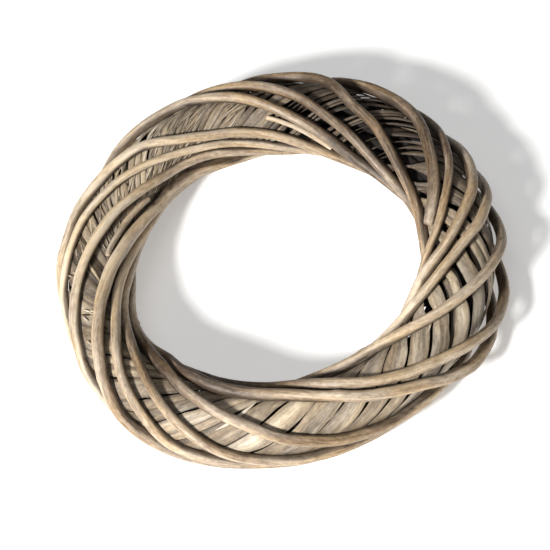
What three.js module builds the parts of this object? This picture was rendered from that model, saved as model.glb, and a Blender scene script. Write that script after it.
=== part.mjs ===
import * as THREE from 'three';

// Willow wreath frame: a ring of split willow strips wound round a core bundle
// and bound by whole rods that spiral over them. Millimetres, +Z up. The ring
// lies flat, with the middle of its bounding box over the origin and its lowest
// point at zero height.
//
// Places on the ring are given by two angles in degrees. The ring angle runs
// anticlockwise round the hole. The section angle runs round the cut section:
// 0 faces away from the hole, 90 is the top and 180 faces the hole.

const RING_RADIUS = 123.3;
const SECTION_HEIGHT_RATIO = 1.12;
const GAP = 0.3;

const CORE_RODS = 5;
const CORE_ROD_DIAMETER = 8;
const CORE_BUNDLE_RADIUS = 10.1;
const CORE_TWIST_TURNS = 1;

const STRIP_COUNT = 17;
const STRIP_THICKNESS = 0.8;
const STRIP_OUTER_LAYER = 18.5;
const STRIP_INNER_LAYER = 15.6;
const STRIP_START_SECTION = -65;
const STRIP_STEPS = 8.8;
const STRIP_STEPS_PER_TURN = 3.5;
const STRIP_DIVE_STEPS = [6.1, 6.8];
const STRIP_MIN_WIDTH = 10.5;
const STRIP_MAX_WIDTH = 11.9;
const STRIP_TIP_WIDTH = 5;

const ROD_REST_DEPTH = STRIP_OUTER_LAYER + STRIP_THICKNESS + GAP;
const ROD_SIDES = 6;
const ROD_END_GAP = 3.5;


// Each line is one place where a rod crosses the top of the ring, from the hole
// side to the outside, as [ring angle, section angle] in the order they follow
// one another round the ring.
const CROSSINGS = [
  [[326, 150], [337.5, 120], [349, 90], [361, 56], [370, 34], [377, 20], [384, 0]],
  [[339.5, 150], [352.5, 120], [365.5, 88], [377, 58], [387, 32], [395, 18], [403, 0]],
  [[348, 150], [361.5, 120], [378, 90], [391, 59], [402, 43], [411, 34], [419, 20], [427, 0]],
  [[378.5, 150], [396, 120], [411.5, 93], [421, 58], [430, 40], [440, 32], [448, 17], [454, 0]],
  [[402.5, 150], [420, 120], [433, 90], [446, 61], [455, 40], [464, 25], [474, 0]],
  [[421, 150], [436, 120], [448, 90], [460, 60], [468, 40], [478, 30], [486, 16], [493, 0]],
  [[74, 170], [91, 150], [110, 120], [121.5, 90], [132.5, 70], [145, 52], [156, 36], [165, 15], [170, 0]],
  [[89.5, 180], [107.5, 150], [123, 120], [140, 90], [155, 60], [170, 30], [181, 0]],
  [[105, 180], [126, 150], [146, 120], [165.5, 90], [180, 60], [191.5, 30], [200, 0]],
  [[158, 150], [176, 120], [190, 90], [200.5, 60], [209, 30], [215.5, 0]],
  [[174, 150], [190, 120], [202.3, 90], [212.5, 60], [222.5, 30], [232, 0]],
  [[186, 150], [201, 120], [214.7, 90], [226.5, 60], [237.5, 30], [250, 0]],
  [[186, 178], [202, 150], [216, 122], [233, 91], [250, 60], [264, 30], [278, 0], [290, -25]],
  [[203, 172], [209, 161], [215, 149], [224, 130], [234, 121.5], [246, 117], [256, 112.5],
    [265, 103], [275, 84], [286, 60], [297.5, 30], [306, 3]],
  [[213, 178], [218, 168.5], [225, 160], [236, 153.5], [250, 148], [260.5, 140],
    [270, 120], [283, 90], [296.5, 60], [309.5, 30], [322, 2]],
  [[272, 158], [283, 151], [293, 146], [303.5, 121], [314.7, 90], [326.7, 60], [340, 30], [350, 3]],
  [[313, 150], [326, 120], [339, 90], [348, 62], [357, 35], [363, 18], [369, 0]],
];
const CROSSINGS_PER_TURN = 10;

// How far the hidden runs under the ring are shared out evenly between the rods.
const UNDERSIDE_SHARES = [[-45, 0.65], [-90, 0.85], [-135, 0.6]];

// Rods that go round the section twice, then the three that go round once.
const LONG_RODS = [
  { startDiameter: 7.8, endDiameter: 6.8 },
  { startDiameter: 5.4, endDiameter: 7.2 },
  { startDiameter: 8.4, endDiameter: 7.2, startSection: 141 },
  { startDiameter: 7.2, endDiameter: 8.2,
    lifts: [[565, 0], [575, 1.4], [592, 1.4], [605, 0], [655, 0], [672, 5], [684, 5], [704, 0]] },
  { startDiameter: 7.2, endDiameter: 7.4,
    lifts: [[668, 0], [686, 3.5], [696, 3.5], [712, 0]] },
  { startDiameter: 7.6, endDiameter: 7.2 },
  { startDiameter: 7.2, endDiameter: 7.2,
    lifts: [[140, 0], [153, 1.5], [165, 1.5], [180, 0], [262, 0], [278, 1.7], [300, 1.7], [315, 0]] },
];
const SHORT_RODS = [
  { startDiameter: 5.8, endDiameter: 5.8 },
  { startDiameter: 7, endDiameter: 7 },
  { startDiameter: 8.8, endDiameter: 8.4, endSection: -120 },
];

// Thin side shoots, lying on the strips between two rods.
const SIDE_SHOOTS = [
  { diameter: 4.2, path: [[55, 178], [62, 164], [70.8, 148], [80, 132]] },
  { diameter: 4.6, path: [[136, 158], [143, 147.5], [150, 139], [158, 131], [166, 121]] },
];

// The wound body is not quite round. Each entry is [ring angle, half-width in degrees,
// height in millimetres] of a swelling, or of a hollow where the height is below zero.
const OUTER_SWELLINGS = [
  [78, 80, 2.6], [124, 38, 2.4], [227, 30, 2.8], [292, 36, -4.5], [332, 42, 3],
];
const HOLE_SWELLINGS = [[45, 40, 3.4], [109, 40, -6.5], [195, 38, -4.8], [282, 28, 1.9], [336, 32, 3]];
const ROD_BOWS = [[350, 45, 1.6]];

const radians = THREE.MathUtils.degToRad;

// A smooth rise and fall of height 1 about a ring angle.
function hump(ring, centre, halfWidth) {
  const offset = THREE.MathUtils.euclideanModulo(ring - centre + 180, 360) - 180;
  return Math.abs(offset) < halfWidth ? 0.5 + 0.5 * Math.cos(Math.PI * offset / halfWidth) : 0;
}

function outerSide(section) {
  return Math.max(0, Math.cos(radians(section - 10))) ** 1.5;
}

function holeSide(section) {
  return Math.max(0, -Math.cos(radians(section + 10))) ** 1.5;
}

function swelling(humps, ring) {
  return humps.reduce((sum, [centre, halfWidth, height]) => sum + height * hump(ring, centre, halfWidth), 0);
}

function unevenness(ring, section) {
  return swelling(OUTER_SWELLINGS, ring) * outerSide(section)
    + swelling(HOLE_SWELLINGS, ring) * holeSide(section);
}

// The rods stand off the strips where they bend round the outer flank.
function rodBow(ring, section) {
  return swelling(ROD_BOWS, ring) * outerSide(section);
}

function placeOnRing(ring, section, depth) {
  const reach = depth + unevenness(ring, section);
  const u = radians(ring);
  const v = radians(section);
  const radius = RING_RADIUS + reach * Math.cos(v);
  return new THREE.Vector3(
    radius * Math.cos(u),
    radius * Math.sin(u),
    SECTION_HEIGHT_RATIO * reach * Math.sin(v),
  );
}

// Steady curve through points whose second value never turns back.
function monotoneCurve(points) {
  const slopes = points.map((point, i) => {
    if (i === 0 || i === points.length - 1) {
      const [a, b] = i === 0 ? [points[0], points[1]] : [points[i - 1], point];
      return (b[1] - a[1]) / (b[0] - a[0]);
    }
    const before = point[0] - points[i - 1][0];
    const after = points[i + 1][0] - point[0];
    const slopeBefore = (point[1] - points[i - 1][1]) / before;
    const slopeAfter = (points[i + 1][1] - point[1]) / after;
    if (slopeBefore * slopeAfter <= 0) return 0;
    const w1 = 2 * after + before;
    const w2 = after + 2 * before;
    return (w1 + w2) / (w1 / slopeBefore + w2 / slopeAfter);
  });
  return (x) => {
    let i = 0;
    while (i < points.length - 2 && x > points[i + 1][0]) i += 1;
    const width = points[i + 1][0] - points[i][0];
    const t = (x - points[i][0]) / width;
    const s = 1 - t;
    return points[i][1] * s * s * (1 + 2 * t) + slopes[i] * width * t * s * s
      + points[i + 1][1] * t * t * (3 - 2 * t) - slopes[i + 1] * width * t * t * s;
  };
}

function straightLines(points, x) {
  if (x <= points[0][0]) return points[0][1];
  for (let i = 1; i < points.length; i += 1) {
    if (x <= points[i][0]) {
      const t = (x - points[i - 1][0]) / (points[i][0] - points[i - 1][0]);
      return THREE.MathUtils.lerp(points[i - 1][1], points[i][1], t);
    }
  }
  return points[points.length - 1][1];
}

const wrap = (index) => THREE.MathUtils.euclideanModulo(index, CROSSINGS.length);
const nextCrossing = (index) => wrap(index + CROSSINGS_PER_TURN);

// Adds whole turns to a ring angle until it lies after another one.
function turnOnPast(angle, past) {
  return angle + 360 * Math.ceil((past - angle) / 360);
}

// The hidden part of every crossing: the points where its rod passes under the ring.
function undersideRuns() {
  const leaves = [];
  CROSSINGS.forEach((points, i) => {
    const ring = points[points.length - 1][0];
    leaves.push(i === 0 ? ring : turnOnPast(ring, leaves[i - 1]));
  });
  const runs = CROSSINGS.map(() => []);
  const pitch = 360 / CROSSINGS.length;
  UNDERSIDE_SHARES.forEach(([section, share]) => {
    const straight = CROSSINGS.map((points, i) => {
      const [ring, nextSection] = CROSSINGS[nextCrossing(i)][0];
      const arrives = turnOnPast(ring, leaves[i] + 60);
      return leaves[i] + (arrives - leaves[i]) * section / (nextSection - 360);
    });
    const mean = straight.reduce((sum, ring, i) => sum + ring - i * pitch, 0) / straight.length;
    straight.forEach((ring, i) => {
      const shared = THREE.MathUtils.lerp(ring, mean + i * pitch, share);
      const leave = CROSSINGS[i][CROSSINGS[i].length - 1][0];
      runs[i].push([shared - leaves[i] + leave, section]);
    });
  });
  return runs;
}

// The path of one rod, from the crossing before its first to the one after its last.
function rodCourse(firstCrossing, turns, undersides) {
  const course = [];
  let index = wrap(firstCrossing - CROSSINGS_PER_TURN);
  let firstRing = 0;
  for (let turn = -1; turn <= turns; turn += 1) {
    const points = CROSSINGS[index].concat(undersides[index]);
    const shift = course.length
      ? turnOnPast(points[0][0], course[course.length - 1][0]) - points[0][0]
      : 0;
    if (turn === 0) firstRing = points[0][0] + shift;
    points.forEach(([ring, section]) => course.push([ring + shift, section - 360 * turn]));
    index = nextCrossing(index);
  }
  const own = CROSSINGS[firstCrossing][0][0] - firstRing;
  return course.map(([ring, section]) => [ring + own, section]);
}

function ringWhereSectionIs(curve, from, to, section) {
  let low = from;
  let high = to;
  for (let i = 0; i < 40; i += 1) {
    const middle = (low + high) / 2;
    if (curve(middle) > section) low = middle;
    else high = middle;
  }
  return low;
}

// Bends a straight round bar along a path of points with an outward direction.
function bentBar(pathAt, radiusAt, segments) {
  const bar = new THREE.CylinderGeometry(1, 1, 1, ROD_SIDES, segments);
  const position = bar.attributes.position;
  const step = 0.002;
  for (let i = 0; i < position.count; i += 1) {
    const t = position.getY(i) + 0.5;
    const centre = pathAt(t, 0);
    const along = pathAt(Math.min(1, t + step), 0).sub(pathAt(Math.max(0, t - step), 0)).normalize();
    const outward = pathAt(t, 1).sub(centre);
    outward.addScaledVector(along, -outward.dot(along)).normalize();
    const across = new THREE.Vector3().crossVectors(outward, along);
    const radius = radiusAt(t);
    centre.addScaledVector(outward, position.getX(i) * radius);
    centre.addScaledVector(across, position.getZ(i) * radius);
    position.setXYZ(i, centre.x, centre.y, centre.z);
  }
  return bar;
}

function spiralRodGeometry(firstCrossing, turns, rod, undersides) {
  const course = rodCourse(firstCrossing, turns, undersides);
  const curve = monotoneCurve(course);
  const startSection = rod.startSection ?? 270 - ROD_END_GAP;
  const endSection = (rod.endSection ?? ROD_END_GAP - 90) - 360 * (turns - 1);
  const first = course[0][0];
  const last = course[course.length - 1][0];
  const start = ringWhereSectionIs(curve, first, last, startSection);
  const end = ringWhereSectionIs(curve, first, last, endSection);
  const radiusAt = (t) => THREE.MathUtils.lerp(rod.startDiameter, rod.endDiameter, t) / 2;
  const pathAt = (t, outward) => {
    const ring = THREE.MathUtils.lerp(start, end, t);
    const section = curve(ring);
    const lift = rodBow(ring, section) + straightLines(rod.lifts ?? [[0, 0]], ring);
    return placeOnRing(ring, section, ROD_REST_DEPTH + radiusAt(t) + lift + outward);
  };
  return bentBar(pathAt, radiusAt, Math.round((end - start) / 7));
}

function sideShootGeometry(shoot) {
  const curve = monotoneCurve(shoot.path);
  const start = shoot.path[0][0];
  const end = shoot.path[shoot.path.length - 1][0];
  const pathAt = (t, outward) => {
    const ring = THREE.MathUtils.lerp(start, end, t);
    return placeOnRing(ring, curve(ring), ROD_REST_DEPTH + shoot.diameter / 2 + outward);
  };
  return bentBar(pathAt, () => shoot.diameter / 2, 8);
}

function coreRodGeometry(index) {
  const start = (index * 360) / CORE_RODS;
  const sweep = 357;
  const pathAt = (t, outward) => {
    const section = 2 * start + 360 * CORE_TWIST_TURNS * t;
    return placeOnRing(start + sweep * t, section, CORE_BUNDLE_RADIUS + outward);
  };
  return bentBar(pathAt, () => CORE_ROD_DIAMETER / 2, 40);
}

// One flat strip. A step is the distance along the ring from one strip to the next. The
// strip winds almost twice round in the outer layer, its second turn lying between those
// of its neighbours, then dives under the strip seven places on and ends there.
function stripGeometry(index) {
  const segments = 48;
  const pitch = 360 / STRIP_COUNT;
  const stepSection = 360 / STRIP_STEPS_PER_TURN;
  const width = THREE.MathUtils.lerp(STRIP_MIN_WIDTH, STRIP_MAX_WIDTH, 0.5 + 0.5 * Math.sin(index * 2.4));
  const strip = new THREE.BoxGeometry(1, 1, 1, 2, segments, 1);
  const position = strip.attributes.position;
  const [diveStart, diveEnd] = STRIP_DIVE_STEPS;
  for (let i = 0; i < position.count; i += 1) {
    const t = position.getY(i) + 0.5;
    const steps = STRIP_STEPS * t;
    const ring = pitch * (index + steps);
    const section = STRIP_START_SECTION + stepSection * steps;
    const dive = THREE.MathUtils.smoothstep(steps, diveStart, diveEnd);
    const layer = THREE.MathUtils.lerp(STRIP_OUTER_LAYER, STRIP_INNER_LAYER, dive);
    const depth = layer + STRIP_THICKNESS * (position.getZ(i) + 0.5);
    const taper = THREE.MathUtils.smoothstep(Math.min(t, 1 - t), 0, 0.05);
    const across = position.getX(i) * THREE.MathUtils.lerp(STRIP_TIP_WIDTH, width, taper);
    const ringReach = RING_RADIUS + layer * Math.cos(radians(section));
    const alongRing = radians(pitch) * ringReach;
    const alongSection = radians(stepSection) * layer;
    const length = Math.hypot(alongRing, alongSection);
    const ringShift = THREE.MathUtils.radToDeg(across * alongSection / length / ringReach);
    const sectionShift = THREE.MathUtils.radToDeg(-across * alongRing / length / layer);
    const point = placeOnRing(ring + ringShift, section + sectionShift, depth);
    position.setXYZ(i, point.x, point.y, point.z);
  }
  return strip;
}

function willowRodMaterial() {
  return new THREE.MeshStandardMaterial({ name: 'willow_rod', color: 0xb39a7b, roughness: 0.6 });
}

function willowStripMaterial() {
  return new THREE.MeshStandardMaterial({ name: 'willow_strip', color: 0xa39179, roughness: 0.75 });
}

function coreMaterial() {
  return new THREE.MeshStandardMaterial({ name: 'willow_core', color: 0x5a4a3a, roughness: 0.85 });
}

function addPiece(group, name, geometry, material) {
  const mesh = new THREE.Mesh(geometry, material);
  mesh.name = name;
  group.add(mesh);
}

// Moves every piece so that the ring stands on the origin.
function standOnOrigin(group) {
  const box = new THREE.Box3().setFromObject(group);
  const centre = box.getCenter(new THREE.Vector3());
  group.children.forEach((mesh) => mesh.geometry.translate(-centre.x, -centre.y, -box.min.z));
}

function buildWreathFrame() {
  const group = new THREE.Group();
  const undersides = undersideRuns();
  const rodMaterial = willowRodMaterial();
  const stripMaterial = willowStripMaterial();
  const bundleMaterial = coreMaterial();
  LONG_RODS.forEach((rod, i) => {
    addPiece(group, `rod_long_${i + 1}`, spiralRodGeometry(i, 2, rod, undersides), rodMaterial);
  });
  SHORT_RODS.forEach((rod, i) => {
    const crossing = LONG_RODS.length + i;
    addPiece(group, `rod_short_${i + 1}`, spiralRodGeometry(crossing, 1, rod, undersides), rodMaterial);
  });
  SIDE_SHOOTS.forEach((shoot, i) => {
    addPiece(group, `side_shoot_${i + 1}`, sideShootGeometry(shoot), rodMaterial);
  });
  for (let i = 0; i < STRIP_COUNT; i += 1) {
    addPiece(group, `strip_${String(i + 1).padStart(2, '0')}`, stripGeometry(i), stripMaterial);
  }
  for (let i = 0; i < CORE_RODS; i += 1) {
    addPiece(group, `core_rod_${i + 1}`, coreRodGeometry(i), bundleMaterial);
  }
  standOnOrigin(group);
  return group;
}

export default buildWreathFrame();
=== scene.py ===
"""Willow wreath frame: whole rods spiralling over wound split strips.

Every piece follows the same course as its CAD node. A place on the ring is given by two
angles in degrees: the ring angle runs anticlockwise round the hole, and the section angle
runs round the cut section (0 faces away from the hole, 90 is the top, 180 faces the hole).
Lengths are in millimetres until a mesh is made.
"""

import math

import bpy
import numpy as np
from mathutils import Matrix, Vector


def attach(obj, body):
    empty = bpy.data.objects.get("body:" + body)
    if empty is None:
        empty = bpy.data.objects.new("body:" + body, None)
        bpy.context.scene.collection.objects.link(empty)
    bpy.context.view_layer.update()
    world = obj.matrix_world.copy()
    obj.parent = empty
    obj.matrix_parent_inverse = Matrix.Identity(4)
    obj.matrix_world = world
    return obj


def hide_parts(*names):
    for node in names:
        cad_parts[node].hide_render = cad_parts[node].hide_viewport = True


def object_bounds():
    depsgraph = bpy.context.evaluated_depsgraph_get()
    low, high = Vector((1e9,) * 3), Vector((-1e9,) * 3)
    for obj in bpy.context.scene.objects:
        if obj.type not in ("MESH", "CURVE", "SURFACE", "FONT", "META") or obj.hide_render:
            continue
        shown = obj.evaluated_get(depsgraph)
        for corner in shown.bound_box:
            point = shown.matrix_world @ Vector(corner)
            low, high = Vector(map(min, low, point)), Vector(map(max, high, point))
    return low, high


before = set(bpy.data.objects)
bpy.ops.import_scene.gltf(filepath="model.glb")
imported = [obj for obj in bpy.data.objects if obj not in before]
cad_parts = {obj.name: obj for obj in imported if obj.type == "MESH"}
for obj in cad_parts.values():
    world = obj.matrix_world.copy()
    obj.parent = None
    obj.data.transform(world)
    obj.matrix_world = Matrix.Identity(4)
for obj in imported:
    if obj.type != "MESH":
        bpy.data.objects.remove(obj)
CAD_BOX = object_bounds()

MM = 0.001
RING_RADIUS = 123.3
SECTION_HEIGHT_RATIO = 1.12
GAP = 0.3
RING_CENTRE = (-1.201, -1.993, 30.7495)

CORE_RODS = 5
CORE_ROD_DIAMETER = 8
CORE_BUNDLE_RADIUS = 10.1
CORE_SWEEP = 357
CORE_FILLER_RADIUS = 11.6
CORE_FILLER_TURN = 36
CORE_FILLER_RATIO = 0.8
CORE_TONE = 0.35

STRIP_COUNT = 17
STRIP_THICKNESS = 0.8
STRIP_OUTER_LAYER = 18.5
STRIP_INNER_LAYER = 15.6
STRIP_START_SECTION = -65
STRIP_STEPS = 8.8
STRIP_STEPS_PER_TURN = 3.5
STRIP_STEP_SECTION = 360 / STRIP_STEPS_PER_TURN
STRIP_DIVE_STEPS = (6.1, 6.8)
STRIP_PITCH_RADIANS = 2 * math.pi / STRIP_COUNT
STRIP_STEP_MM = 55.7
# The passes of a strip over the top, as (first step, last step, middle step, lift in mm).
STRIP_PASSES = [(0.0, 3.1, 1.5, 0.0), (3.05, 6.6, 5.0, 0.06)]
STRIP_TAIL_START = 6.55
STRIP_TAIL_MIDDLE = 8.0
STRIP_TAIL_HALF_WIDTH = 5.4
# Painted shade: the strip tails, seen through the gaps between the strips, are painted dark so that the
# gaps read as shaded depth.
STRIP_TAIL_SHADE_TONE = 0.15
STRIP_TONE = 0.43
LATH_COLUMNS = 7

ROD_REST_DEPTH = STRIP_OUTER_LAYER + STRIP_THICKNESS + GAP
ROD_END_GAP = 3.5
# Strength of the painted shade on the rods' flanks and undersides.
ROD_UNDERSIDE_SHADE = 0.92

# Each list is one crossing of a rod over the top of the ring, from the hole side to the
# outside, as (ring angle, section angle).
CROSSINGS = [
    [(326, 150), (337.5, 120), (349, 90), (361, 56), (370, 34), (377, 20), (384, 0)],
    [(339.5, 150), (352.5, 120), (365.5, 88), (377, 58), (387, 32), (395, 18), (403, 0)],
    [(348, 150), (361.5, 120), (378, 90), (391, 59), (402, 43), (411, 34), (419, 20), (427, 0)],
    [(378.5, 150), (396, 120), (411.5, 93), (421, 58), (430, 40), (440, 32), (448, 17), (454, 0)],
    [(402.5, 150), (420, 120), (433, 90), (446, 61), (455, 40), (464, 25), (474, 0)],
    [(421, 150), (436, 120), (448, 90), (460, 60), (468, 40), (478, 30), (486, 16), (493, 0)],
    [(74, 170), (91, 150), (110, 120), (121.5, 90), (132.5, 70),
     (145, 52), (156, 36), (165, 15), (170, 0)],
    [(89.5, 180), (107.5, 150), (123, 120), (140, 90), (155, 60), (170, 30), (181, 0)],
    [(105, 180), (126, 150), (146, 120), (165.5, 90), (180, 60), (191.5, 30), (200, 0)],
    [(158, 150), (176, 120), (190, 90), (200.5, 60), (209, 30), (215.5, 0)],
    [(174, 150), (190, 120), (202.3, 90), (212.5, 60), (222.5, 30), (232, 0)],
    [(186, 150), (201, 120), (214.7, 90), (226.5, 60), (237.5, 30), (250, 0)],
    [(186, 178), (202, 150), (216, 122), (233, 91), (250, 60), (264, 30), (278, 0), (290, -25)],
    [(203, 172), (209, 161), (215, 149), (224, 130), (234, 121.5), (246, 117), (256, 112.5),
     (265, 103), (275, 84), (286, 60), (297.5, 30), (306, 3)],
    [(213, 178), (218, 168.5), (225, 160), (236, 153.5), (250, 148), (260.5, 140),
     (270, 120), (283, 90), (296.5, 60), (309.5, 30), (322, 2)],
    [(272, 158), (283, 151), (293, 146), (303.5, 121), (314.7, 90), (326.7, 60), (340, 30), (350, 3)],
    [(313, 150), (326, 120), (339, 90), (348, 62), (357, 35), (363, 18), (369, 0)],
]
CROSSINGS_PER_TURN = 10
UNDERSIDE_SHARES = [(-45, 0.65), (-90, 0.85), (-135, 0.6)]

# Each rod has its diameter at both ends, its tone and, where it climbs over another rod,
# its lifts as (ring angle along the rod, mm).
LONG_RODS = [
    dict(start=7.8, end=6.8, tone=0.60),
    dict(start=5.4, end=7.2, tone=0.52),
    dict(start=8.4, end=7.2, tone=0.50, start_section=141),
    dict(start=7.2, end=8.2, tone=0.50, lifts=[(565, 0), (575, 1.4), (592, 1.4), (605, 0),
                                               (655, 0), (672, 5), (684, 5), (704, 0)]),
    dict(start=7.2, end=7.4, tone=0.52, lifts=[(668, 0), (686, 3.5), (696, 3.5), (712, 0)]),
    dict(start=7.6, end=7.2, tone=0.56),
    dict(start=7.2, end=7.2, tone=0.66, lifts=[(140, 0), (153, 1.5), (165, 1.5), (180, 0),
                                               (262, 0), (278, 1.7), (300, 1.7), (315, 0)]),
]
SHORT_RODS = [
    dict(start=5.8, end=5.8, tone=0.70),
    dict(start=7, end=7, tone=0.62),
    dict(start=8.8, end=8.4, tone=0.56, end_section=-120),
]
SIDE_SHOOTS = [
    dict(diameter=4.2, path=[(55, 178), (62, 164), (70.8, 148), (80, 132)]),
    dict(diameter=4.6, path=[(136, 158), (143, 147.5), (150, 139), (158, 131), (166, 121)]),
]
SIDE_SHOOT_TONE = 0.72
SIDE_SHOOT_TAPER = 0.15

# Each swelling or hollow of the wound body, as (ring angle, half-width in degrees, mm).
OUTER_SWELLINGS = [(78, 80, 2.6), (124, 38, 2.4), (227, 30, 2.8), (292, 36, -4.5), (332, 42, 3)]
HOLE_SWELLINGS = [(45, 40, 3.4), (109, 40, -6.5), (195, 38, -4.8), (282, 28, 1.9), (336, 32, 3)]
ROD_BOWS = [(350, 45, 1.6)]

# Where rods and strips are paler or darker, as (ring angle, half-width, change of tone).
# The rim is the part of the section that faces up and into the hole.
# Painted light and shade in the rod tones: the rods at the left (155) and on the left hole side (172),
# which faces away from the key light, are painted paler; the darker rods at the far right (42) are partly
# greyer, olive wood and partly painted shade, as that side faces away from the key light.
ROD_TONES = [(42, 70, -0.25), (155, 66, 0.18), (312, 54, 0.17)]
ROD_RIM_TONES = [(172, 46, 0.34), (226, 62, -0.48)]
RIM_SECTION, RIM_SPREAD = 140, 46
# The darker strips at the far right (42) are partly greyer wood and partly painted shade, as that side
# faces away from the key light.
STRIP_TONES = [(272, 75, 0.16), (42, 66, -0.42), (128, 58, 0.10), (180, 42, -0.12), (325, 48, 0.22)]

# The gap and the slits between strips in mm, how far their edges wander, and how dark the painted shade
# along their edges is:
# a usual value and its changes, as (ring angle, half-width, change).
STRIP_GAP, STRIP_GAPS = 0.30, [(278, 55, -0.30), (125, 74, -0.55), (327, 48, 4.4), (42, 46, 2.4)]
SLIT_WIDTH, SLIT_WIDTHS = 1.5, [(275, 75, 0.6)]
LOOSENESS, LOOSER_PLACES = 1, [(42, 50, 3.0), (265, 80, -0.6)]
EDGE_SHADE, EDGE_SHADES = 0.7, [(275, 70, -0.45)]

# Stretches where the strips are broken, thinned out, whole, flaking and narrow at their
# ends, as (ring angle, half-width).
RAGGED_STRETCH = (122, 74)
SPARSE_STRETCH = (42, 44)
NEAR_STRETCH = (278, 60)
FLAKING_STRETCH = (197, 26)
NARROW_TAIL_STRETCH = (40, 50)

# Dark openings between the strips, as (ring angle, half-width, section angle, spread).
OPENINGS = [(30, 36, 138, 34), (70, 14, 122, 24), (341, 14, 140, 24)]

# First seeds of the random draws, one seed for each piece from there on.
LONG_ROD_SEED = 100
SHORT_ROD_SEED = 200
SIDE_SHOOT_SEED = 300
STRIP_SEED = 500
CORE_ROD_SEED = 900

# In metres and degrees, with the lens and the sensor in millimetres. The shifts are
# shares of the frame's width.
FLOOR_HEIGHT = -0.0002
FLOOR_HALF_WIDTH = 4.0
CAMERA_TILT = 34
CAMERA_ROLL = 15
CAMERA_DISTANCE = 1.233
CAMERA_LENS = 120.4
SENSOR_WIDTH = 36
CAMERA_SHIFT = (-2.5 / 550, -12.8 / 550)
LIGHT_AIM = (0, 0, 0.03)
WORLD_STRENGTH = 0.13


# ---------------------------------------------------------------- shape of the ring

def hump(ring, centre, half_width):
    """A smooth rise and fall of height 1 about a ring angle."""
    offset = (np.asarray(ring, float) - centre + 180) % 360 - 180
    return np.where(np.abs(offset) < half_width, 0.5 + 0.5 * np.cos(np.pi * offset / half_width), 0)


def outer_side(section):
    """How far, from 0 to 1, a place faces away from the hole."""
    return np.maximum(0, np.cos(np.radians(np.asarray(section) - 10))) ** 1.5


def hole_side(section):
    """How far, from 0 to 1, a place faces the hole."""
    return np.maximum(0, -np.cos(np.radians(np.asarray(section) + 10))) ** 1.5


def summed(humps, ring):
    """Several humps together, each given as (ring angle, half-width, height)."""
    return sum(height * hump(ring, centre, half_width) for centre, half_width, height in humps)


def unevenness(ring, section):
    """How far in mm the wound body swells out, or in where negative."""
    return (summed(OUTER_SWELLINGS, ring) * outer_side(section)
            + summed(HOLE_SWELLINGS, ring) * hole_side(section))


def rod_bow(ring, section):
    """How far in mm the rods stand off the body on its outer side."""
    return summed(ROD_BOWS, ring) * outer_side(section)


def place_on_ring(ring, section, depth):
    """Points in mm in the part's frame, for arrays of angles and depths."""
    reach = depth + unevenness(ring, section)
    u, v = np.radians(ring), np.radians(section)
    radius = RING_RADIUS + reach * np.cos(v)
    return np.stack([radius * np.cos(u) + RING_CENTRE[0],
                     radius * np.sin(u) + RING_CENTRE[1],
                     SECTION_HEIGHT_RATIO * reach * np.sin(v) + RING_CENTRE[2]], -1)


def monotone_curve(points):
    """A steady curve through points whose second value never turns back."""
    x = np.array([p[0] for p in points], float)
    y = np.array([p[1] for p in points], float)
    width = np.diff(x)
    chord = np.diff(y) / width
    slope = np.zeros(len(x))
    slope[0], slope[-1] = chord[0], chord[-1]
    for i in range(1, len(x) - 1):
        if chord[i - 1] * chord[i] > 0:
            w1, w2 = 2 * width[i] + width[i - 1], width[i] + 2 * width[i - 1]
            slope[i] = (w1 + w2) / (w1 / chord[i - 1] + w2 / chord[i])

    def at(value):
        value = np.asarray(value, float)
        i = np.clip(np.searchsorted(x, value) - 1, 0, len(width) - 1)
        t = (value - x[i]) / width[i]
        s = 1 - t
        return (y[i] * s * s * (1 + 2 * t) + slope[i] * width[i] * t * s * s
                + y[i + 1] * t * t * (3 - 2 * t) - slope[i + 1] * width[i] * t * t * s)
    return at


def turn_on_past(angle, past):
    """Adds whole turns to a ring angle until it lies after another one."""
    return angle + 360 * math.ceil((past - angle) / 360)


def underside_runs():
    """For every crossing, the points where its rod passes under the ring."""
    leaves = []
    for i, points in enumerate(CROSSINGS):
        ring = points[-1][0]
        leaves.append(ring if i == 0 else turn_on_past(ring, leaves[i - 1]))
    count = len(CROSSINGS)
    pitch = 360 / count
    runs = [[] for _ in CROSSINGS]
    for section, share in UNDERSIDE_SHARES:
        straight = []
        for i in range(count):
            ring, next_section = CROSSINGS[(i + CROSSINGS_PER_TURN) % count][0]
            arrives = turn_on_past(ring, leaves[i] + 60)
            straight.append(leaves[i] + (arrives - leaves[i]) * section / (next_section - 360))
        mean = sum(ring - i * pitch for i, ring in enumerate(straight)) / count
        for i, ring in enumerate(straight):
            shared = ring + (mean + i * pitch - ring) * share
            runs[i].append((shared - leaves[i] + CROSSINGS[i][-1][0], section))
    return runs


def rod_course(first_crossing, turns, undersides):
    """One rod's path, from the crossing before its first to the one after its last."""
    count = len(CROSSINGS)
    course = []
    index = (first_crossing - CROSSINGS_PER_TURN) % count
    first_ring = 0
    for turn in range(-1, turns + 1):
        points = CROSSINGS[index] + undersides[index]
        shift = turn_on_past(points[0][0], course[-1][0]) - points[0][0] if course else 0
        if turn == 0:
            first_ring = points[0][0] + shift
        course += [(ring + shift, section - 360 * turn) for ring, section in points]
        index = (index + CROSSINGS_PER_TURN) % count
    own = CROSSINGS[first_crossing][0][0] - first_ring
    return [(ring + own, section) for ring, section in course]


# ---------------------------------------------------------------- smooth random curves

def wave_noise(rng, x, length, count=5):
    """A smooth random curve of about unit height, with features about this long."""
    total = np.zeros_like(np.asarray(x, float))
    for _ in range(count):
        wave = length * rng.uniform(0.6, 1.8)
        total += rng.uniform(0.5, 1) * np.sin(2 * np.pi * (x / wave + rng.uniform(0, 1)))
    return total / (0.55 * count)


def smooth_step(value, low, high):
    t = np.clip((np.asarray(value) - low) / (high - low), 0, 1)
    return t * t * (3 - 2 * t)


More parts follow.
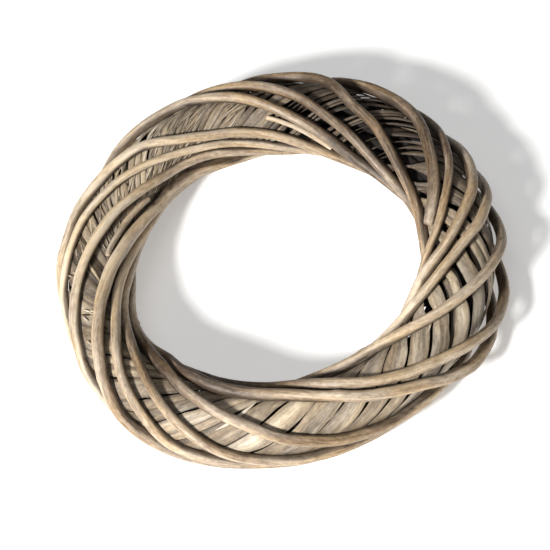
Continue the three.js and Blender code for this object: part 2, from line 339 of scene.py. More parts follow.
def arc_resample(points_at, step):
    """Even parameters 0..1 along points_at(t), this many mm apart, and their distances."""
    t = np.linspace(0, 1, 3000)
    distance = np.concatenate([[0], np.cumsum(np.linalg.norm(np.diff(points_at(t), axis=0), axis=1))])
    count = max(8, int(distance[-1] / step))
    along = np.linspace(0, distance[-1], count + 1)
    return np.interp(along, distance, t), along


def unit(vectors):
    return vectors / np.maximum(1e-9, np.linalg.norm(vectors, axis=-1, keepdims=True))


def path_frames(points, outward_points):
    """Unit along, outward and across directions at each point of a path."""
    along = unit(np.gradient(points, axis=0))
    outward = outward_points - points
    outward = unit(outward - along * np.sum(outward * along, axis=1, keepdims=True))
    return along, outward, np.cross(outward, along)


# ---------------------------------------------------------------- meshes

def tube_faces(rings, sides):
    """Outward quads of a tube made of rings of vertices."""
    i = np.arange(rings - 1)[:, None] * sides
    j = np.arange(sides)[None, :]
    k = (j + 1) % sides
    return np.stack([i + j, i + sides + j, i + sides + k, i + k], -1).reshape(-1, 4).tolist()


class PieceMesh:
    """Collects the vertices, faces and shading attributes of one piece."""

    def __init__(self):
        self.points, self.faces = [], []
        self.grain, self.tone, self.painted_shade_and_marks = [], [], []
        self.count = 0

    def add(self, points, faces, grain, tone, painted_shade_and_marks):
        self.faces += [[i + self.count for i in face] for face in faces]
        self.points.append(points)
        self.grain.append(grain)
        self.tone.append(np.broadcast_to(tone, len(points)))
        self.painted_shade_and_marks.append(np.broadcast_to(painted_shade_and_marks, len(points)))
        self.count += len(points)

    def to_object(self, name, material):
        mesh = bpy.data.meshes.new(name)
        points = np.clip(np.concatenate(self.points) * MM, *np.array(CAD_BOX))
        mesh.from_pydata(points.tolist(), [], self.faces)
        for label, kind, values in (("grain", "FLOAT_VECTOR", np.concatenate(self.grain)),
                                    ("tone", "FLOAT", np.concatenate(self.tone)),
                                    ("painted_shade_and_marks", "FLOAT", np.concatenate(self.painted_shade_and_marks))):
            layer = mesh.attributes.new(label, kind, "POINT")
            layer.data.foreach_set("vector" if kind == "FLOAT_VECTOR" else "value",
                                   values.astype(np.float32).ravel())
        mesh.shade_smooth()
        mesh.set_sharp_from_angle(angle=math.radians(50))
        mesh.materials.append(material)
        piece = bpy.data.objects.new(name, mesh)
        bpy.context.scene.collection.objects.link(piece)
        return piece


def rod_profile(rng, along_mm, angle):
    """How far a rod's surface lies from its middle, about 1: slightly oval, with ridges."""
    profile = np.ones((len(along_mm), len(angle)))
    profile += 0.035 * np.cos(2 * (angle[None, :] - wave_noise(rng, along_mm, 180)[:, None] * 1.5))
    profile += 0.018 * wave_noise(rng, along_mm, 40)[:, None]
    for _ in range(4):
        turn = rng.uniform(0, 2 * np.pi) + 0.6 * wave_noise(rng, along_mm, 120)
        ridge = np.exp(-((np.angle(np.exp(1j * (angle[None, :] - turn[:, None])))) / 0.28) ** 2)
        profile += 0.03 * ridge * wave_noise(rng, along_mm, 70)[:, None]
    return profile


def add_knots(rng, along_mm, angle, profile):
    """Raises a knot wherever a bud sat, and returns how much of the surface is knot."""
    knots = np.zeros_like(profile)
    place = rng.uniform(10, 40)
    side = rng.uniform(0, 2 * np.pi)
    while place < along_mm[-1] - 6:
        from_bud = along_mm - place
        around = np.angle(np.exp(1j * (angle - side)))
        swell = np.exp(-(from_bud / 7) ** 2)
        knob = np.exp(-(from_bud / 2.6) ** 2)[:, None] * np.exp(-(around / 0.42) ** 2)[None, :]
        profile += 0.022 * swell[:, None] + rng.uniform(0.07, 0.15) * knob
        knots += knob
        place += rng.uniform(28, 75)
        side += rng.uniform(2.0, 3.0)
    return np.clip(knots, 0, 1)


def add_rod(target, rng, points_at, diameter_at, step=1.6, sides=22, tone=0.5, tone_at=None):
    """A natural rod along points_at(t, outward): wavy and knotted, with ends cut aslant."""
    t, along_mm = arc_resample(lambda t: points_at(t, 0), step)
    length = along_mm[-1]
    centre = points_at(t, 0)
    along, outward, across = path_frames(centre, points_at(t, 1))
    radius = diameter_at(t) / 2
    size = radius.mean()
    centre = (centre + outward * (0.07 * size * wave_noise(rng, along_mm, 50))[:, None]
              + across * (0.11 * size * wave_noise(rng, along_mm, 48))[:, None])
    angle = np.arange(sides) * 2 * np.pi / sides
    profile = rod_profile(rng, along_mm, angle)
    knots = add_knots(rng, along_mm, angle, profile)

    ends = np.minimum(along_mm, length - along_mm)
    rounding = 0.7
    profile *= np.where(ends < rounding, 0.9 + 0.1 * np.sin(np.pi / 2 * ends / rounding), 1)[:, None]
    spread = (radius[:, None] * profile * 0.985)[..., None]
    ring = (outward[:, None, :] * np.cos(angle)[None, :, None]
            + across[:, None, :] * np.sin(angle)[None, :, None])
    points = centre[:, None, :] + spread * ring
    slant = np.where(along_mm < length / 2, rng.uniform(-0.5, 0.5), rng.uniform(-0.5, 0.5))
    shear = (0.8 * radius * np.exp(-(ends / 4) ** 2) * slant)[:, None] * np.cos(angle)[None, :]
    points += along[:, None, :] * shear[..., None]

    grain = np.stack([np.broadcast_to(size * np.cos(angle), (len(t), sides)),
                      np.broadcast_to(size * np.sin(angle), (len(t), sides)),
                      np.broadcast_to(along_mm[:, None], (len(t), sides))], -1)
    grain = grain + rng.uniform(0, 900, 3)
    region = tone_at(t) if tone_at else np.zeros(len(t))
    shade = (tone + region + 0.08 * wave_noise(rng, along_mm, 130))[:, None] * np.ones((1, sides))
    # Painted shade: each rod darkens on its flanks and underside, where it faces the wound body, and less
    # where the region tone paints it paler; knots darken too, as real marks.
    turned = np.abs(np.angle(np.exp(1j * angle)))[None, :] + 0.25 * wave_noise(rng, along_mm, 50)[:, None]
    under = smooth_step(turned, math.radians(56), math.radians(102))
    stain_and_shade = ROD_UNDERSIDE_SHADE - 2.2 * np.clip(region - 0.2, 0, 0.25)
    painted_shade_and_marks = np.clip(stain_and_shade[:, None] * under + 0.5 * knots, 0, 1)

    flat_points, flat_grain = points.reshape(-1, 3), grain.reshape(-1, 3)
    base = target.count
    target.add(flat_points, tube_faces(len(t), sides), flat_grain, shade.ravel(), painted_shade_and_marks.ravel())
    for first, is_start in ((0, True), (len(flat_points) - sides, False)):
        add_end_cap(target, flat_points, flat_grain, base, first, sides, is_start, tone - 0.02)


def add_end_cap(target, points, grain, base, first, sides, is_start, tone):
    """Closes one end of a tube whose rim starts at vertex first of the tube at base."""
    rim, rim_grain = points[first:first + sides], grain[first:first + sides]
    middle, middle_grain = rim.mean(0), rim_grain.mean(0)
    faces = []
    for j in range(sides):
        k = (j + 1) % sides
        outer_j, outer_k = base + first + j - target.count, base + first + k - target.count
        quad, fan = [outer_j, outer_k, k, j], [j, k, sides]
        faces += [quad, fan] if is_start else [quad[::-1], fan[::-1]]
    cap_points = np.vstack([middle + (rim - middle) * 0.45, middle[None]])
    cap_grain = np.vstack([middle_grain + (rim_grain - middle_grain) * 0.45, middle_grain[None]])
    target.add(cap_points, faces, cap_grain, tone, 0.1)


def strip_layer(steps):
    """Depth in mm of a strip's underside: it dives below its neighbours near its end."""
    dive = smooth_step(steps, *STRIP_DIVE_STEPS)
    return STRIP_OUTER_LAYER + (STRIP_INNER_LAYER - STRIP_OUTER_LAYER) * dive


def strip_section(steps):
    return STRIP_START_SECTION + STRIP_STEP_SECTION * steps


def strip_ring(index, steps):
    return 360 / STRIP_COUNT * (index + steps)


def strip_lay(steps):
    """How far one step of a strip goes along the ring and round the section, in mm."""
    layer = strip_layer(steps)
    reach = RING_RADIUS + layer * np.cos(np.radians(strip_section(steps)))
    return STRIP_PITCH_RADIANS * reach, math.radians(STRIP_STEP_SECTION) * layer, reach, layer


def strip_surface(index, steps, across, lift):
    """Points of strip number index: steps along it, mm across it, mm above its underside."""
    along_ring, along_section, reach, layer = strip_lay(steps)
    length = np.hypot(along_ring, along_section)
    ring = strip_ring(index, steps) + np.degrees(across * along_section / length / reach)
    section = strip_section(steps) - np.degrees(across * along_ring / length / layer)
    return place_on_ring(ring, section, layer + lift)


def strip_room(steps):
    """The width in mm that a strip has between its two neighbours."""
    along_ring, along_section, _, layer = strip_lay(steps)
    between = math.radians(STRIP_STEP_SECTION / 2) * layer
    return between * along_ring / np.hypot(along_ring, along_section)


def add_lath(target, rng, index, start, end, left, right, lift, tone, thickness=0.6, tips=(6, 6),
             rise=(0, 0), tilt=0.0, spacing=2.0):
    """A thin closed ribbon of split willow between two edges given in mm across the strip."""
    length = (end - start) * STRIP_STEP_MM
    rows = max(6, int(length / spacing))
    steps = np.linspace(start, end, rows)
    along_mm = (steps - start) * STRIP_STEP_MM
    to_end = length - along_mm
    low, high = left(steps), right(steps)
    middle = (low + high) / 2
    half = np.maximum(0.12, (high - low) / 2)
    point = np.minimum(np.clip(along_mm / tips[0], 0, 1), np.clip(to_end / tips[1], 0, 1)) ** 0.8
    fray = 1 + 0.10 * wave_noise(rng, along_mm, 9) * (point < 0.99)
    half = np.maximum(0.06, half * point * fray)
    bend = rise[0] * np.exp(-(along_mm / 9) ** 1.5) + rise[1] * np.exp(-(to_end / 9) ** 1.5)
    base = lift + bend + 0.06 * wave_noise(rng, along_mm, 22)
    side = np.linspace(-1, 1, LATH_COLUMNS)
    crown = 0.12 * (1 - side ** 2)
    slope = (tilt + 0.12 * wave_noise(rng, along_mm, 60))[:, None] * side[None, :] / 2
    body = thickness * (1 - 0.6 * np.abs(side) ** 4)
    across = middle[:, None] + half[:, None] * side[None, :]
    seat = base[:, None] + crown[None, :] + slope + abs(tilt) / 2
    top = seat + body[None, :]
    grid_across = np.concatenate([across, across[:, ::-1]], 1)
    grid_lift = np.concatenate([top, seat[:, ::-1]], 1)
    count = grid_across.shape[1]
    grid_steps = np.broadcast_to(steps[:, None], grid_across.shape)
    points = strip_surface(index, grid_steps, grid_across, grid_lift).reshape(-1, 3)
    seed = rng.uniform(0, 900, 3)
    grain = np.stack([grid_across + seed[0], grid_lift + seed[1],
                      np.broadcast_to(along_mm[:, None] + seed[2], grid_across.shape)], -1)
    region = strip_region_tone(strip_ring(index, steps))
    shade = (tone + region + 0.05 * wave_noise(rng, along_mm, 60))[:, None] * np.ones((1, count))
    # Painted shade: the top of each lath darkens towards its edges, where it meets its neighbours, and its
    # underside is painted near dark.
    edge_shade = EDGE_SHADE + summed(EDGE_SHADES, strip_ring(index, steps))
    edge = np.concatenate([np.abs(side) ** 5, np.zeros(LATH_COLUMNS)])
    under = np.concatenate([np.zeros(LATH_COLUMNS), np.full(LATH_COLUMNS, 0.95)])
    painted_shade_and_marks = edge_shade[:, None] * edge[None, :] + under[None, :]
    start_index = target.count
    target.add(points, tube_faces(rows, count), grain.reshape(-1, 3), shade.ravel(), painted_shade_and_marks.ravel())
    first_end = [start_index + j for j in range(count)]
    last_end = [start_index + (rows - 1) * count + j for j in range(count)][::-1]
    target.faces += [first_end, last_end]


def strip_region_tone(ring):
    """Strips are palest at the near right and darkest at the far right of the ring, where the darkness is
    partly greyer wood and partly painted shade.
    """
    return summed(STRIP_TONES, ring)


def strip_gap(ring):
    """Usual gap in mm between two neighbouring strips."""
    return STRIP_GAP + summed(STRIP_GAPS, ring)


def opening(ring, section):
    """How far, from 0 to 1, strips are missing at the dark openings towards the hole."""
    total = 0
    for ring_place, half_width, section_place, spread in OPENINGS:
        off = ((section - section_place + 180) % 360 - 180) / spread
        total = total + hump(ring, ring_place, half_width) * np.exp(-off ** 2)
    return np.clip(1.25 * total, 0, 1)


def strip_edge(rng, index, side):
    """One edge of a strip: close to its neighbour, with slits that open and close."""
    phase = rng.uniform(0, 99, 4)
    openness = rng.uniform(0.6, 1.4)

    def at(steps):
        x = steps * STRIP_STEP_MM
        slit = (np.maximum(0, np.sin(x / 21.0 + phase[0])) ** 3
                + 0.6 * np.maximum(0, np.sin(x / 9.0 + phase[1])) ** 4)
        ring = strip_ring(index, steps)
        loose = LOOSENESS + summed(LOOSER_PLACES, ring)
        slit_width = SLIT_WIDTH + summed(SLIT_WIDTHS, ring)
        wander = 0.22 * loose * np.sin(x / 11.0 + phase[2]) + 0.16 * np.sin(x / 4.1 + phase[3])
        gap = strip_gap(ring) * openness * (0.6 + 0.7 * slit) + slit_width * slit
        missing = 1 - 0.75 * opening(ring, strip_section(steps))
        return side * np.maximum(0.8, (strip_room(steps) - gap) / 2) * missing + wander
    return at


def between(low, high, share, phase, crack):
    """A split that runs along a strip between its two edges and opens in places."""
    def at(steps, side):
        x = steps * STRIP_STEP_MM
        drift = 0.045 * np.sin(x / 24.0 + phase[0]) + 0.012 * np.sin(x / 6.0 + phase[1])
        place = low(steps) + (high(steps) - low(steps)) * (share + drift)
        parting = 0.02 + crack * np.maximum(0, np.sin(x / 21.0 + phase[2]) - 0.2) ** 2
        return place + side * parting
    return at


def add_strip_portion(piece, rng, index, start, end, centre_step, base_lift):
    """The laths of a strip for one pass over the top, split and broken as its place needs."""
    ring = float(strip_ring(index, centre_step) % 360)
    ragged = float(hump(ring, *RAGGED_STRETCH))
    sparse = float(hump(ring, *SPARSE_STRETCH))
    if sparse > 0.2:
        add_ribbons(piece, rng, index, start, end, centre_step, base_lift, sparse)
        return
    near = float(hump(ring, *NEAR_STRETCH))
    low, high = strip_edge(rng, index, -1), strip_edge(rng, index, 1)
    laths = 1 + int(rng.uniform() < 0.36 - 0.30 * near) + int(ragged > 0.3) + int(ragged > 0.7)
    shares = (np.arange(1, laths) + rng.uniform(-0.22, 0.22, laths - 1)) / laths
    crack = 0.25 - 0.1 * ragged
    splits = [between(low, high, share, rng.uniform(0, 99, 3), crack) for share in shares]
    strip_tone = STRIP_TONE + rng.uniform(-0.13, 0.13)
    for i in range(laths):
        left = low if i == 0 else (lambda steps, f=splits[i - 1]: f(steps, 1))
        right = high if i == laths - 1 else (lambda steps, f=splits[i]: f(steps, -1))
        tone = strip_tone + rng.uniform(-0.06, 0.06) * (1 + ragged)
        lift = base_lift + rng.uniform(0, 0.08)
        tilt = rng.uniform(-0.25, 0.25) * (1 + ragged)
        breaks = rng.uniform() < 0.04 + 0.55 * ragged - 0.2 * near
        if not breaks:
            add_lath(piece, rng, index, start, end, left, right, lift, tone, tilt=tilt,
                     tips=(rng.uniform(2, 6), rng.uniform(2, 6)))
            continue
        place = centre_step + rng.uniform(-0.55, 0.55)
        rise = rng.uniform(0.1, 0.5 + 1.1 * ragged)
        add_lath(piece, rng, index, start, place, left, right, lift, tone, tilt=tilt,
                 tips=(4, rng.uniform(3, 12 + 8 * ragged)), rise=(0, rise))
        add_lath(piece, rng, index, place + rng.uniform(0.02, 0.10), end, left, right, lift, tone - 0.04,
                 tilt=-tilt, tips=(rng.uniform(3, 14), 4), rise=(rng.uniform(0, 0.5), 0))
    for _ in range(rng.poisson(0.4 + 24.0 * ragged)):
        add_splinter(piece, rng, index, centre_step, ragged)
    for _ in range(rng.poisson(16.0 * float(hump(ring, *FLAKING_STRETCH)))):
        add_flake(piece, rng, index, centre_step)


def add_flake(piece, rng, index, centre_step):
    """A short curl of bark, pale or dark, standing up between two rods."""
    place = centre_step + rng.uniform(-0.5, 0.3)
    offset, drift = rng.uniform(-4.5, 4.5), rng.uniform(-2.5, 2.5)
    half = rng.uniform(0.35, 0.8)

    def edge_at(side):
        return lambda steps: offset + drift * (steps - place) / 0.1 + side * half

    end = place + rng.uniform(0.06, 0.14)
    tone = rng.choice([0.15, 0.85, 1.0])
    rise = (rng.uniform(0, 1), rng.uniform(0.5, 2.2))
    add_lath(piece, rng, index, place, end, edge_at(-1), edge_at(1), 0.6, tone, thickness=0.3,
             tips=(2, 2), rise=rise, spacing=1.0)


def add_ribbons(piece, rng, index, start, end, centre_step, base_lift, sparse):
    """A strip split into narrow ribbons that sway and part, leaving dark openings."""
    count = 4 if sparse < 0.75 else 3
    strip_tone = STRIP_TONE + rng.uniform(-0.08, 0.08)
    for i in range(count):
        home = ((i + 0.5) / count - 0.5) * 10.4 + rng.uniform(-0.7, 0.7)
        half = rng.uniform(1.0, 2.3) * (1.15 - 0.25 * sparse)
        sway, lean = rng.uniform(1.0, 3.2), rng.uniform(-3.4, 3.4)
        phase = rng.uniform(0, 2 * np.pi)

        def edge_at(side, home=home, half=half, sway=sway, lean=lean, phase=phase):
            def at(steps):
                along = steps - centre_step
                curve = sway * np.sin(1.9 * along + phase) + lean * np.tanh(along)
                missing = 1 - 0.85 * opening(strip_ring(index, steps), strip_section(steps))
                return np.clip(home + curve * sparse, -7.5, 7.5) + side * half * missing
            return at

        tips = (rng.uniform(8, 34), rng.uniform(8, 34))
        first = start + rng.uniform(0, 0.35)
        last = end - rng.uniform(0, 0.35)
        tone = strip_tone + rng.uniform(-0.09, 0.09)
        lift = base_lift + (0.05 + 0.28 * i) * sparse
        if rng.uniform() < 0.35:
            place = centre_step + rng.uniform(-0.5, 0.5)
            add_lath(piece, rng, index, first, place, edge_at(-1), edge_at(1), lift, tone,
                     tips=(tips[0], rng.uniform(10, 30)), rise=(0, 0.5), tilt=rng.uniform(-0.4, 0.4))
            first = place + rng.uniform(0.05, 0.35)
            tips = (rng.uniform(10, 30), tips[1])
        add_lath(piece, rng, index, first, last, edge_at(-1), edge_at(1), lift, tone, tips=tips,
                 tilt=rng.uniform(-0.4, 0.4))


def add_splinter(piece, rng, index, centre_step, ragged):
    """A thin sliver that crosses the strips at a slight angle and lifts at its tip."""
    place = centre_step + rng.uniform(-1.0, 0.6)
    offset = rng.uniform(-6, 5)
    drift, bow = rng.uniform(0.0, 5.5), rng.uniform(-1.5, 1.5)
    thin = rng.uniform(0.6, 2.4)

    def edge_at(side):
        def at(steps):
            along = (steps - place) / 0.3
            return offset + drift * along + bow * along ** 2 + side * thin / 2
        return at

    end = place + rng.uniform(0.22, 0.72)
    lift = rng.uniform(0.3, 0.9)
    tone = 0.48 + rng.uniform(-0.16, 0.24)
    rise = (0, rng.uniform(0.1, 0.4 + 0.9 * ragged))
    add_lath(piece, rng, index, place, end, edge_at(-1), edge_at(1), lift, tone, thickness=0.3,
             tips=(9, 13), rise=rise, spacing=1.8)


def build_strip(index, material):
    """A strip's two passes over the top, and the tail with which it dives and ends."""
    rng = np.random.default_rng(STRIP_SEED + index)
    piece = PieceMesh()
    for first, last, middle, lift in STRIP_PASSES:
        add_strip_portion(piece, rng, index, first, last, middle, lift)
    ring = strip_ring(index, STRIP_TAIL_MIDDLE)
    narrow = 1 - 0.75 * float(hump(ring, *NARROW_TAIL_STRETCH))
    tail = [lambda steps, side=side: side * STRIP_TAIL_HALF_WIDTH * narrow + 0 * steps for side in (-1, 1)]
    add_lath(piece, rng, index, STRIP_TAIL_START, STRIP_STEPS, *tail, 0.0, STRIP_TAIL_SHADE_TONE, tips=(4, 5))
    name = f"strip_{index + 1:02d}"
    return finish_piece(piece.to_object(f"split_{name}", material), name)


def finish_piece(piece, node):
    """Puts a piece in the place of its CAD node; the whole wreath is one body."""
    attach(piece, "root")
    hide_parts(node)
    return piece


# ---------------------------------------------------------------- pieces

def ring_where_section_is(curve, low, high, section):
    """The ring angle between low and high where a falling course reaches this section angle."""
    for _ in range(40):
        middle = (low + high) / 2
        low, high = (middle, high) if curve(middle) > section else (low, middle)
    return low


def rod_region_tone(ring, section):
    """Rods are darkest at the far right and along the near left rim, palest at the left; the paleness at
    the left is painted light, the darkness at the far right partly painted shade.
    """
    rim = np.exp(-(((section - RIM_SECTION + 180) % 360 - 180) / RIM_SPREAD) ** 2)
    return summed(ROD_TONES, ring) + summed(ROD_RIM_TONES, ring) * rim


def build_spiral_rod(name, crossing, turns, rod, undersides, material, seed):
    rng = np.random.default_rng(seed)
    course = rod_course(crossing, turns, undersides)
    curve = monotone_curve(course)
    first, last = course[0][0], course[-1][0]
    start = ring_where_section_is(curve, first, last, rod.get("start_section", 270 - ROD_END_GAP))
    end_section = rod.get("end_section", ROD_END_GAP - 90) - 360 * (turns - 1)
    end = ring_where_section_is(curve, first, last, end_section)
    lift_rings, lift_heights = zip(*rod.get("lifts", [(0, 0)]))

    def diameter_at(t):
        return rod["start"] + (rod["end"] - rod["start"]) * np.asarray(t)

    def points_at(t, outward):
        ring = start + (end - start) * np.asarray(t)
        section = curve(ring)
        lift = rod_bow(ring, section) + np.interp(ring, lift_rings, lift_heights)
        return place_on_ring(ring, section, ROD_REST_DEPTH + diameter_at(t) / 2 + lift + outward)

    def tone_at(t):
        ring = start + (end - start) * np.asarray(t)
        return rod_region_tone(ring, curve(ring))

    piece = PieceMesh()
    add_rod(piece, rng, points_at, diameter_at, tone=rod["tone"], tone_at=tone_at)
    return finish_piece(piece.to_object(f"willow_{name}", material), name)


def build_side_shoot(name, shoot, material, seed):
    rng = np.random.default_rng(seed)
    curve = monotone_curve(shoot["path"])
    start, end = shoot["path"][0][0], shoot["path"][-1][0]

    def diameter_at(t):
        return shoot["diameter"] * (1 - SIDE_SHOOT_TAPER * np.asarray(t))

    def points_at(t, outward):
        ring = start + (end - start) * np.asarray(t)
        return place_on_ring(ring, curve(ring), ROD_REST_DEPTH + shoot["diameter"] / 2 + outward)

    piece = PieceMesh()
    add_rod(piece, rng, points_at, diameter_at, step=1.2, sides=16, tone=SIDE_SHOOT_TONE)
    return finish_piece(piece.to_object(f"willow_{name}", material), name)


def build_core_rod(index, material):
    """A rod of the core bundle, with a thinner one that fills the gap beside it."""
    rng = np.random.default_rng(CORE_ROD_SEED + index)
    start = index * 360 / CORE_RODS

    def course(section_shift, radius):
        def points_at(t, outward):
            t = np.asarray(t)
            section = 2 * start + section_shift + 360 * t
            return place_on_ring(start + CORE_SWEEP * t, section, radius + outward)
        return points_at

    def diameter_at(t):
        return CORE_ROD_DIAMETER * np.ones_like(np.asarray(t, float))

    piece = PieceMesh()
    add_rod(piece, rng, course(0, CORE_BUNDLE_RADIUS), diameter_at, step=3, sides=14, tone=CORE_TONE)
    add_rod(piece, rng, course(CORE_FILLER_TURN, CORE_FILLER_RADIUS),
            lambda t: CORE_FILLER_RATIO * diameter_at(t), step=3, sides=12, tone=CORE_TONE)
    name = f"core_rod_{index + 1}"
    return finish_piece(piece.to_object(f"willow_{name}", material), name)


# ---------------------------------------------------------------- materials

class Nodes:
    """Short calls for building a material's node tree."""

    def __init__(self, name):
        self.material = bpy.data.materials.new(name)
        self.material.use_nodes = True
        self.tree = self.material.node_tree
        self.shader = self.tree.nodes["Principled BSDF"]

    def node(self, kind, inputs=None, **settings):
        made = self.tree.nodes.new(kind)
        for key, value in settings.items():
            setattr(made, key, value)
        for key, value in (inputs or {}).items():
            self.feed(made.inputs[key], value)
        return made

    def feed(self, socket, value):
        if isinstance(value, bpy.types.NodeSocket):
            self.tree.links.new(value, socket)
        else:
            socket.default_value = value

    def attribute(self, name):
        return self.node("ShaderNodeAttribute", attribute_name=name)

    def scaled(self, vector, scale):
        return self.node("ShaderNodeVectorMath", {0: vector, 1: scale}, operation="MULTIPLY").outputs[0]

    def noise(self, vector, detail=4, roughness=0.55, distortion=0.0):
        made = self.node("ShaderNodeTexNoise", {"Vector": vector, "Scale": 1.0, "Detail": detail,
                                                "Roughness": roughness, "Distortion": distortion})
        return made.outputs["Fac"]

    def grain_noise(self, grain, across, along, detail, roughness=0.55, distortion=0.0):
        """Noise drawn out along the grain, with its two scales per mm."""
        return self.noise(self.scaled(grain, (across, across, along)), detail, roughness, distortion)

    def sway(self, value, noise, weight, clamp=False):
        """Moves a value up and down with a noise, by this weight."""
        return self.math("MULTIPLY_ADD", self.math("SUBTRACT", noise, 0.5), weight, value, clamp=clamp)

    def math(self, operation, a, b=0.0, c=0.0, clamp=False):
        made = self.node("ShaderNodeMath", {0: a, 1: b, 2: c}, operation=operation, use_clamp=clamp)
        return made.outputs[0]

    def ramp(self, factor, stops):
        made = self.node("ShaderNodeValToRGB", {"Fac": factor})
        elements = made.color_ramp.elements
        while len(elements) < len(stops):
            elements.new(0.5)
        for element, (place, colour) in zip(elements, stops):
            element.position = place
            element.color = (*colour, 1)
        return made.outputs["Color"]

    def span(self, value, low, high, to_low=0.0, to_high=1.0):
        made = self.node("ShaderNodeMapRange", {"Value": value, "From Min": low, "From Max": high,
                                                "To Min": to_low, "To Max": to_high})
        return made.outputs["Result"]

    def mix(self, factor, a, b):
        made = self.node("ShaderNodeMix", data_type="RGBA")
        self.feed(made.inputs["Factor"], factor)
        self.feed(made.inputs["A"], a)
        self.feed(made.inputs["B"], b)
        return made.outputs["Result"]

    def bump(self, height, strength, distance, normal=None):
        made = self.node("ShaderNodeBump", {"Height": height, "Strength": strength,
                                            "Distance": distance})
        if normal is not None:
            self.feed(made.inputs["Normal"], normal)
        return made.outputs["Normal"]


def wood_material(name, stops, stain_and_shade, pale_fibre, fibre, rough, fibre_bump, contrast=1.0, mottle=0.6):
    """Willow: long fibres, blotches, fine pores, painted shade on undersides and flanks, and knots.

    stops, pale_fibre and the dark colour for streaks, blotches, knots and painted shade are colours, fibre
    is the number of fibres per mm and rough the lowest and highest roughness.
    """
    n = Nodes(name)
    grain = n.attribute("grain").outputs["Vector"]
    tone = n.attribute("tone").outputs["Fac"]
    painted_shade_and_marks = n.attribute("painted_shade_and_marks").outputs["Fac"]
    streaks = n.grain_noise(grain, fibre, 0.035, 5, 0.6, 0.3)
    broad = n.grain_noise(grain, 0.16, 0.014, 3, 0.5)
    blotch = n.grain_noise(grain, 0.30, 0.07, 4, 0.65, 0.8)
    mottling = n.grain_noise(grain, 0.55, 0.22, 4, 0.65, 0.5)
    pores = n.grain_noise(grain, 7.0, 0.5, 2, 0.7)
    dark_streaks = n.span(n.grain_noise(grain, fibre * 1.7, 0.02, 3, 0.6), 0.62, 0.74)
    pale_streaks = n.span(n.grain_noise(grain, fibre * 1.3, 0.03, 3, 0.6), 0.60, 0.72)
    greyness = n.span(n.grain_noise(grain, 0.12, 0.02, 3), 0.38, 0.62, 0.84, 1.20)

    value = n.sway(tone, streaks, 0.75 * contrast)
    value = n.sway(value, broad, 0.85)
    value = n.sway(value, mottling, mottle)
    value = n.sway(value, pores, 0.22 * contrast, clamp=True)
    colour = n.ramp(value, stops)
    colour = n.mix(n.math("MULTIPLY", dark_streaks, 0.6 * contrast), colour, (*stain_and_shade, 1))
    colour = n.mix(n.math("MULTIPLY", pale_streaks, 0.45 * contrast), colour, (*pale_fibre, 1))
    # Real blotches and painted shade: the dark colour covers blotches, and through the per-vertex
    # attribute it also covers the painted shade on rod flanks and undersides, strip edges and lath
    # undersides, with knots and cut ends.
    blotches_and_painted_shade = n.math("MULTIPLY", n.span(blotch, 0.48, 0.72), 0.36)
    blotches_and_painted_shade = n.math("MULTIPLY_ADD", n.math("POWER", painted_shade_and_marks, 1.3), 0.85, blotches_and_painted_shade, clamp=True)
    colour = n.mix(blotches_and_painted_shade, colour, (*stain_and_shade, 1))
    colour = n.node("ShaderNodeHueSaturation", {"Saturation": greyness, "Color": colour}).outputs["Color"]
    n.feed(n.shader.inputs["Base Color"], colour)

    unevenly = n.math("ADD", streaks, n.math("MULTIPLY", blotch, 0.5))
    n.feed(n.shader.inputs["Roughness"], n.span(unevenly, 0.45, 1.05, *rough))
    n.shader.inputs["Specular IOR Level"].default_value = 0.42
    normal = n.bump(n.math("MULTIPLY_ADD", pores, 0.4, streaks), fibre_bump, 0.00035)
    normal = n.bump(broad, 0.25, 0.0009, normal)
    n.feed(n.shader.inputs["Normal"], normal)
    return n.material


def rod_material():
    stops = [(0.05, (0.060, 0.038, 0.023)), (0.28, (0.165, 0.115, 0.074)),
             (0.48, (0.30, 0.222, 0.148)), (0.68, (0.47, 0.365, 0.25)), (0.95, (0.68, 0.56, 0.41))]
    return wood_material("willow_rod", stops, stain_and_shade=(0.040, 0.026, 0.017), pale_fibre=(0.60, 0.49, 0.35),
                         fibre=0.75, rough=(0.42, 0.62), fibre_bump=0.45, mottle=0.75)


def strip_material():
    stops = [(0.05, (0.045, 0.031, 0.021)), (0.28, (0.135, 0.103, 0.073)),
             (0.48, (0.27, 0.215, 0.155)), (0.70, (0.47, 0.385, 0.28)), (0.95, (0.72, 0.62, 0.475))]
    return wood_material("willow_strip", stops, stain_and_shade=(0.035, 0.024, 0.016), pale_fibre=(0.62, 0.53, 0.40),
                         fibre=0.8, rough=(0.5, 0.8), fibre_bump=0.4, contrast=0.55)


def core_material():
    """Near black, because the core only shows through gaps as their shaded depth."""
    stops = [(0.1, (0.006, 0.004, 0.003)), (0.4, (0.010, 0.007, 0.005)),
             (0.6, (0.016, 0.011, 0.008)), (0.8, (0.026, 0.019, 0.013)), (0.95, (0.04, 0.03, 0.02))]
    return wood_material("willow_core", stops, stain_and_shade=(0.005, 0.003, 0.003),
                         pale_fibre=(0.03, 0.022, 0.015), fibre=1.0, rough=(0.8, 0.95), fibre_bump=0.5)


def floor_material():
    n = Nodes("pale_floor")
    place = n.node("ShaderNodeTexCoord").outputs["Object"]
    speck = n.noise(n.scaled(place, (40, 40, 40)), 3, 0.5)
    stops = [(0.3, (0.86, 0.86, 0.855)), (0.7, (0.88, 0.88, 0.875))]
    n.feed(n.shader.inputs["Base Color"], n.ramp(speck, stops))
    n.shader.inputs["Roughness"].default_value = 0.9
    n.shader.inputs["Emission Color"].default_value = (1, 1, 1, 1)
    n.shader.inputs["Emission Strength"].default_value = 0.34
    return n.material


# ---------------------------------------------------------------- stage

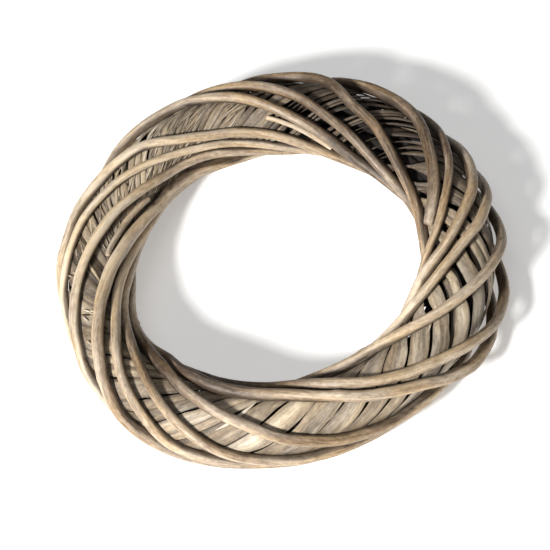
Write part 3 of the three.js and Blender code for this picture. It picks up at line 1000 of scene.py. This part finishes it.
def add_floor():
    """Lies just below the wreath, so that no face of it coincides with the floor."""
    mesh = bpy.data.meshes.new("floor")
    half = FLOOR_HALF_WIDTH
    corners = [(-half, -half), (half, -half), (half, half), (-half, half)]
    mesh.from_pydata([(x, y, FLOOR_HEIGHT) for x, y in corners], [], [(0, 1, 2, 3)])
    mesh.materials.append(floor_material())
    floor = bpy.data.objects.new("floor", mesh)
    bpy.context.scene.collection.objects.link(floor)


def add_camera():
    """Looks down at the ring from the near side, rolled so that its far side leans right."""
    tilt, roll = math.radians(CAMERA_TILT), math.radians(CAMERA_ROLL)
    back = Vector((0, -math.sin(tilt), math.cos(tilt)))
    right = Vector((1, 0, 0))
    up = Vector((0, math.cos(tilt), math.sin(tilt)))
    screen_right = right * math.cos(roll) - up * math.sin(roll)
    screen_up = right * math.sin(roll) + up * math.cos(roll)
    data = bpy.data.cameras.new("camera")
    data.lens = CAMERA_LENS
    data.sensor_width = SENSOR_WIDTH
    data.shift_x, data.shift_y = CAMERA_SHIFT
    camera = bpy.data.objects.new("camera", data)
    turn = Matrix((screen_right, screen_up, back)).transposed().to_4x4()
    centre = Vector(RING_CENTRE) * MM
    camera.matrix_world = Matrix.Translation(centre + back * CAMERA_DISTANCE) @ turn
    bpy.context.scene.collection.objects.link(camera)
    bpy.context.scene.camera = camera


def add_area_light(name, place, size, power, colour):
    """A round light aimed at the wreath, its size in metres and its power in watts."""
    data = bpy.data.lights.new(name, "AREA")
    data.shape = "DISK"
    data.size = size
    data.energy = power
    data.color = colour
    light = bpy.data.objects.new(name, data)
    light.location = place
    aim = Vector(LIGHT_AIM) - Vector(place)
    light.rotation_euler = aim.to_track_quat("-Z", "Y").to_euler()
    bpy.context.scene.collection.objects.link(light)


def add_lights():
    add_area_light("key", (-1.15, -1.1, 1.3), size=0.35, power=74, colour=(1.0, 0.985, 0.965))
    add_area_light("top", (-0.2, 0.1, 2.4), size=1.6, power=9, colour=(0.98, 0.99, 1.0))
    world = bpy.data.worlds.new("studio")
    world.use_nodes = True
    background = world.node_tree.nodes["Background"]
    background.inputs["Color"].default_value = (1.0, 1.0, 1.0, 1)
    background.inputs["Strength"].default_value = WORLD_STRENGTH
    bpy.context.scene.world = world
    bpy.context.scene.view_settings.view_transform = "Standard"


# ---------------------------------------------------------------- build

def build_wreath():
    rods, strips, core = rod_material(), strip_material(), core_material()
    undersides = underside_runs()
    for i, rod in enumerate(LONG_RODS):
        build_spiral_rod(f"rod_long_{i + 1}", i, 2, rod, undersides, rods, LONG_ROD_SEED + i)
    for i, rod in enumerate(SHORT_RODS):
        crossing = len(LONG_RODS) + i
        build_spiral_rod(f"rod_short_{i + 1}", crossing, 1, rod, undersides, rods, SHORT_ROD_SEED + i)
    for i, shoot in enumerate(SIDE_SHOOTS):
        build_side_shoot(f"side_shoot_{i + 1}", shoot, rods, SIDE_SHOOT_SEED + i)
    for i in range(STRIP_COUNT):
        build_strip(i, strips)
    for i in range(CORE_RODS):
        build_core_rod(i, core)


build_wreath()
add_floor()
add_camera()
add_lights()
